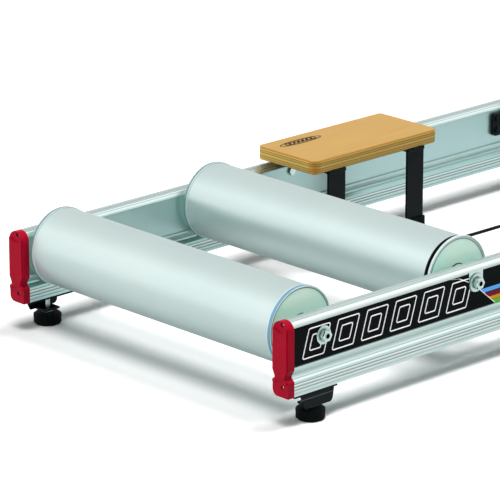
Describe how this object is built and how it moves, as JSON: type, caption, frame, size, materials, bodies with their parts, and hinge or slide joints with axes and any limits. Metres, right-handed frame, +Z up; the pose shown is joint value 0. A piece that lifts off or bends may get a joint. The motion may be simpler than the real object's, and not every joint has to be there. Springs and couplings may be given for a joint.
{
  "type": "bike rollers",
  "caption": "Folding training rollers: drums on fixed axles between two extruded side rails, a round drive belt, levelling feet and a plywood step.",
  "frame": {"origin": "on the floor, midway between the two ends and midway between the two rails", "axes": "+X along the rails to the front, +Y to the rider's left, the side with the step, +Z up"},
  "size_m": [1.364, 0.5176, 0.1619],
  "materials": {
    "rail_alloy": "satin clear anodised, extruded",
    "cap_red": "moulded, semi-gloss",
    "fastener_zinc": "zinc plated",
    "black_steel": "black powder coat",
    "foot_rubber": "moulded, matt",
    "drum_alloy": "matt anodised tube",
    "cup_steel": "bluish zinc plate, pressed",
    "bearing_steel": "bright ring with a dark seal",
    "belt_black": "smooth round cord",
    "birch_ply": "clear lacquer, plies show at the edges"
  },
  "bodies": {
    "rear_frame": {"rail_rear_right": "rail_alloy", "rail_rear_left": "rail_alloy", "end_cap_rear_right": "cap_red", "end_cap_rear_left": "cap_red", "frame_screws_rear": "fastener_zinc", "foot_bracket_rear_right": "black_steel", "foot_bracket_rear_left": "black_steel", "axle_rear": "fastener_zinc", "axle_drive": "fastener_zinc", "axle_fixings_rear": "fastener_zinc", "axle_fixings_drive": "fastener_zinc", "keeper_plates": "fastener_zinc", "belt": "belt_black", "step_board": "birch_ply", "step_strap_rear": "black_steel", "step_strap_front": "black_steel", "step_boots": "foot_rubber", "step_fixings": "fastener_zinc", "hinge_rear_right": "black_steel", "hinge_rear_left": "black_steel", "hinge_pins": "fastener_zinc", "hinge_screws_rear": "fastener_zinc"},
    "front_frame": {"rail_front_right": "rail_alloy", "rail_front_left": "rail_alloy", "end_cap_front_right": "cap_red", "end_cap_front_left": "cap_red", "frame_screws_front": "fastener_zinc", "foot_bracket_front_right": "black_steel", "foot_bracket_front_left": "black_steel", "mid_bracket_right": "black_steel", "mid_bracket_left": "black_steel", "mid_pad_right": "foot_rubber", "mid_pad_left": "foot_rubber", "axle_front": "fastener_zinc", "axle_fixings_front": "fastener_zinc", "hinge_front_right": "black_steel", "hinge_front_left": "black_steel", "hinge_screws_front": "fastener_zinc"},
    "drum_rear": {"tube_rear": "drum_alloy", "cup_rear_right": "cup_steel", "cup_rear_left": "cup_steel", "bearings_rear": "bearing_steel"},
    "drum_drive": {"tube_drive": "drum_alloy", "pulley_drive_right": "cup_steel", "cup_drive_left": "cup_steel", "bearings_drive": "bearing_steel"},
    "drum_front": {"tube_front": "drum_alloy", "pulley_front_right": "cup_steel", "cup_front_left": "cup_steel", "bearings_front": "bearing_steel"},
    "foot_rear_right": {"foot_pad_rear_right": "foot_rubber", "foot_stud_rear_right": "fastener_zinc"},
    "foot_rear_left": {"foot_pad_rear_left": "foot_rubber", "foot_stud_rear_left": "fastener_zinc"},
    "foot_front_right": {"foot_pad_front_right": "foot_rubber", "foot_stud_front_right": "fastener_zinc"},
    "foot_front_left": {"foot_pad_front_left": "foot_rubber", "foot_stud_front_left": "fastener_zinc"}
  },
  "joints": [
    {"name": "frame_fold", "type": "hinge", "parent": "rear_frame", "child": "front_frame", "pos_m": [0.228, 0, 0.1415], "axis": [0, -1, 0], "range_deg": [0, 170], "deforming": ["belt"]},
    {"name": "rear_drum_spin", "type": "hinge", "parent": "rear_frame", "child": "drum_rear", "pos_m": [-0.621, 0, 0.1045], "axis": [0, 1, 0], "continuous": true},
    {"name": "drive_drum_spin", "type": "hinge", "parent": "rear_frame", "child": "drum_drive", "pos_m": [-0.361, 0, 0.1099], "axis": [0, 1, 0], "continuous": true},
    {"name": "front_drum_spin", "type": "hinge", "parent": "front_frame", "child": "drum_front", "pos_m": [0.549, 0, 0.1045], "axis": [0, 1, 0], "continuous": true},
    {"name": "foot_rear_right_level", "type": "slide", "parent": "rear_frame", "child": "foot_rear_right", "axis": [0, 0, -1], "range_m": [0, 0.008]},
    {"name": "foot_rear_left_level", "type": "slide", "parent": "rear_frame", "child": "foot_rear_left", "axis": [0, 0, -1], "range_m": [0, 0.008]},
    {"name": "foot_front_right_level", "type": "slide", "parent": "front_frame", "child": "foot_front_right", "axis": [0, 0, -1], "range_m": [0, 0.008]},
    {"name": "foot_front_left_level", "type": "slide", "parent": "front_frame", "child": "foot_front_left", "axis": [0, 0, -1], "range_m": [0, 0.008]}
  ],
  "couplings": [
    {"joint": "front_drum_spin", "follows": "drive_drum_spin", "ratio": 1}
  ]
}
